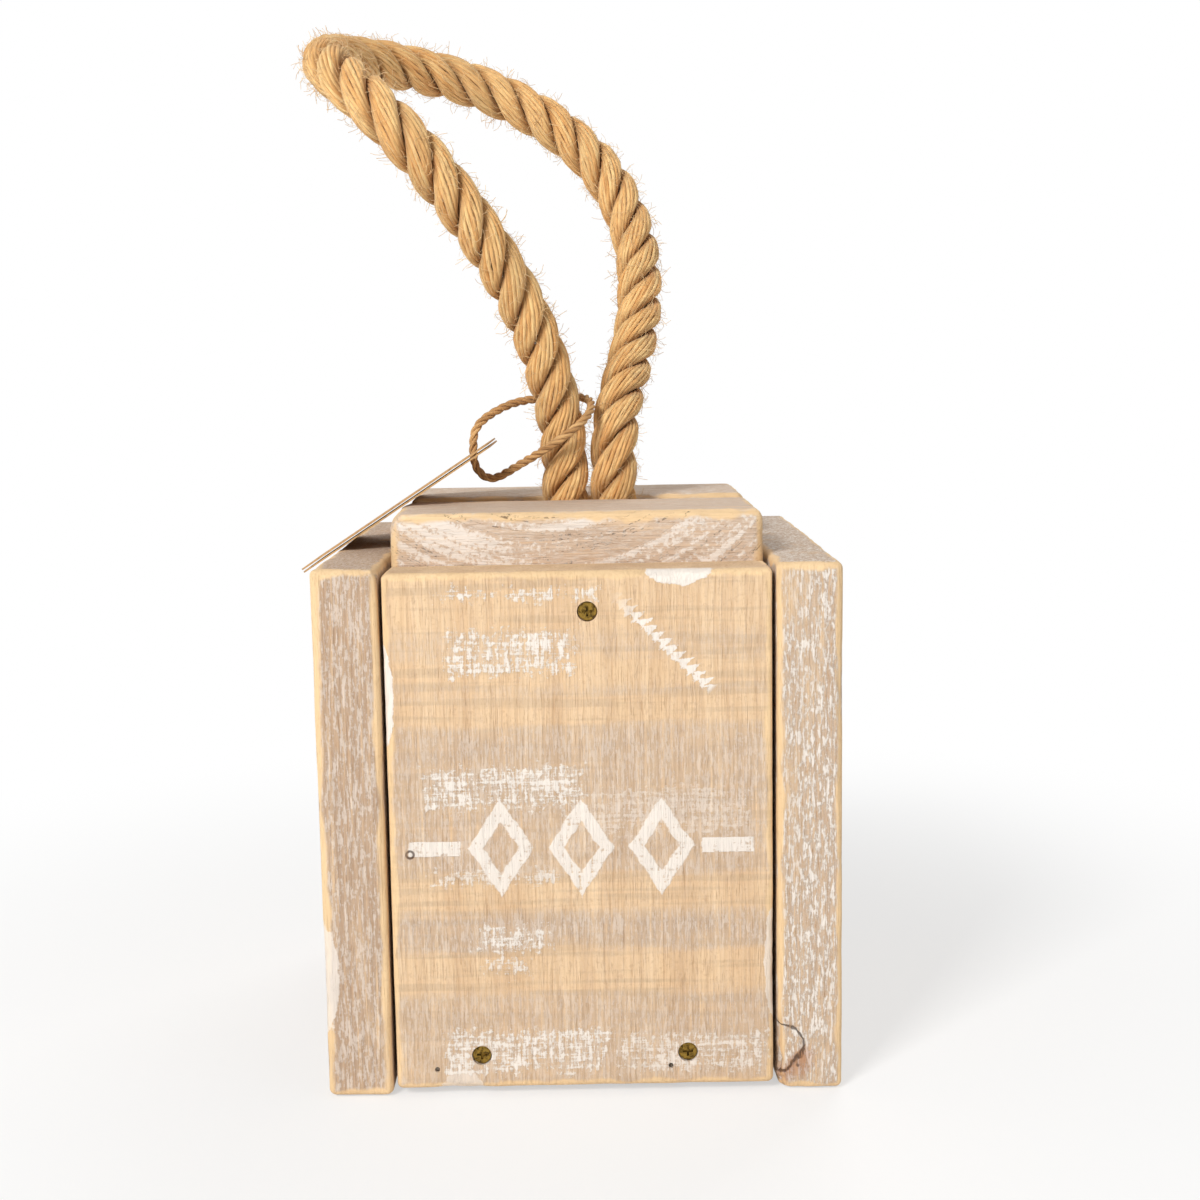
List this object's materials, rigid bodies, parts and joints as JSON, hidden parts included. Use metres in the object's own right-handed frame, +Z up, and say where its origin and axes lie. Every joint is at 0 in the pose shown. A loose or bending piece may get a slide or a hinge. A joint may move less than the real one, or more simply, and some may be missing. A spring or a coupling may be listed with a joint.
{
  "type": "wooden block doorstop with rope handle",
  "caption": "Square doorstop block of weathered boards with a thick laid rope loop as its handle and card tags on a twine.",
  "frame": {"origin": "middle of the box at floor level", "axes": "+Z up, -Y towards the front with the painted board, +X to the right seen from the front"},
  "size_m": [0.1608, 0.15, 0.3174],
  "materials": {
    "side_wood": "weathered grey-brown pine, worn golden on the edges",
    "face_wood": "golden pine with grey bands and dry-brushed white paint",
    "plank_wood": "weathered grey pine with saw marks and worn edges",
    "raw_wood": "raw sawn pine",
    "bag_cloth": "plain cotton bag filled with sand",
    "jute_rope": "hairy three-strand laid jute",
    "tape": "cloth tape",
    "steel": "plain bright wire",
    "yellow_zinc": "yellow passivated zinc",
    "jute_twine": "plied jute twine",
    "card": "kraft card"
  },
  "bodies": {
    "box": {"left_side_board": "side_wood", "right_side_board": "side_wood", "front_board": "face_wood", "back_board": "face_wood", "top_front_plank": "plank_wood", "top_rear_plank": "plank_wood", "bottom_board": "raw_wood", "sand_bag": "bag_cloth", "rope_necks": "jute_rope", "rope_tails": "jute_rope", "rope_end_tape": "tape", "rope_nails": "steel", "front_screws": "yellow_zinc", "back_screws": "yellow_zinc", "left_screws": "yellow_zinc", "right_screws": "yellow_zinc", "front_brads": "steel", "back_brads": "steel"},
    "handle": {"rope_loop": "jute_rope", "tag_twine": "jute_twine", "twine_knot": "jute_twine"},
    "tags": {"lower_tag": "card", "upper_tag": "card"}
  },
  "joints": [
    {"name": "handle_lean", "type": "hinge", "parent": "box", "child": "handle", "pos_m": [0.004, 0, 0.1745], "axis": [0, 1, 0], "range_deg": [0, 45], "deforming": ["rope_necks"]},
    {"name": "tag_swing", "type": "hinge", "parent": "handle", "child": "tags", "pos_m": [-0.03252, -0.002, 0.18284], "axis": [0, 1, 0], "range_deg": [0, 75]}
  ]
}
